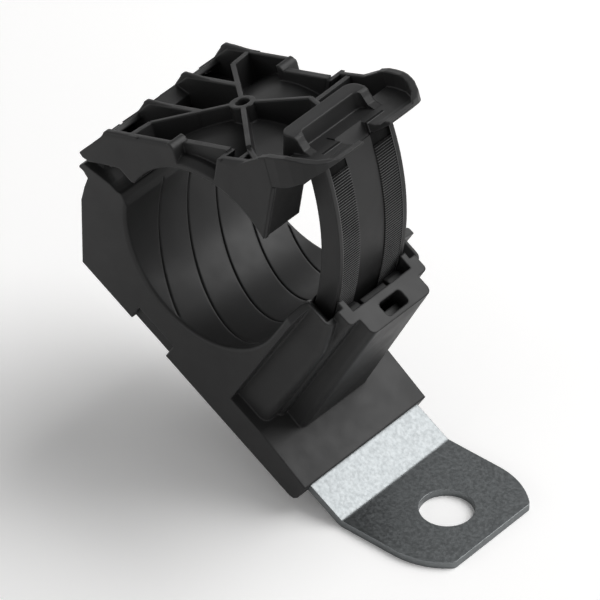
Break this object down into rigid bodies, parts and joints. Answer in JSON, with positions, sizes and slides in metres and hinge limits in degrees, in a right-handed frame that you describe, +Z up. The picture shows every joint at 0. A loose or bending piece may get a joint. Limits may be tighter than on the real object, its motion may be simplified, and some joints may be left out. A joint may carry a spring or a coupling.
{
  "type": "ratchet p clamp",
  "caption": "Hinged plastic ratchet ring clamp for cable bundles on a bent steel bracket with a round bolt hole.",
  "frame": {"origin": "centre of the bolt hole on the underside of the flat tab", "axes": "+Z up out of the tab along the bolt, +X towards the tab's round tip, +Y across the clamp along the cable"},
  "size_m": [0.0857, 0.035, 0.0811],
  "materials": {
    "zinc_steel": "satin zinc plating",
    "body_nylon": "satin moulded nylon",
    "lid_nylon": "satin moulded nylon"
  },
  "bodies": {
    "base": {"clamp_body": "body_nylon", "mounting_bracket": "zinc_steel"},
    "lid": {"clamp_lid": "lid_nylon"}
  },
  "joints": [
    {"name": "lid_hinge", "type": "hinge", "parent": "base", "child": "lid", "pos_m": [-0.07217, 0, 0.05615], "axis": [0, 1, 0], "range_deg": [-40, 24]}
  ]
}
